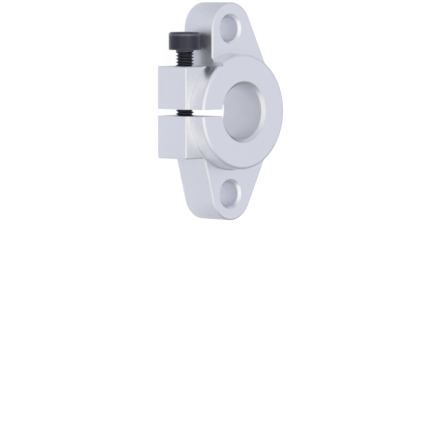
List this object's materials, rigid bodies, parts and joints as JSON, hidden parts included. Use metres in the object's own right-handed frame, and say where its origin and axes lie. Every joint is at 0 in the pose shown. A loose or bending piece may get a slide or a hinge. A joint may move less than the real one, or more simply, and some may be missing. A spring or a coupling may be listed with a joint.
{
  "type": "flange-mounted shaft support with a clamp screw",
  "caption": "Rhombic flange block with a split hub that clamps a round shaft by a socket head cap screw across its side lug.",
  "frame": {"origin": "centre of the shaft bore at the mounting face of the flange", "axes": "+Z along the shaft bore, out through the hub; +Y along the flange, from bolt hole to bolt hole, towards the head of the clamp screw; the lug points to -X"},
  "size_m": [0.028, 0.0474, 0.013],
  "materials": {
    "block_aluminium": "smooth, bright, lightly satin machined faces",
    "screw_steel": "black oxide, slightly oily"
  },
  "bodies": {
    "block": {"support_block": "block_aluminium"},
    "screw": {"clamp_screw": "screw_steel"}
  },
  "joints": [
    {"name": "screw_travel", "type": "slide", "parent": "block", "child": "screw", "axis": [0, 1, 0], "range_m": [-0.0035, 0.0042]}
  ]
}
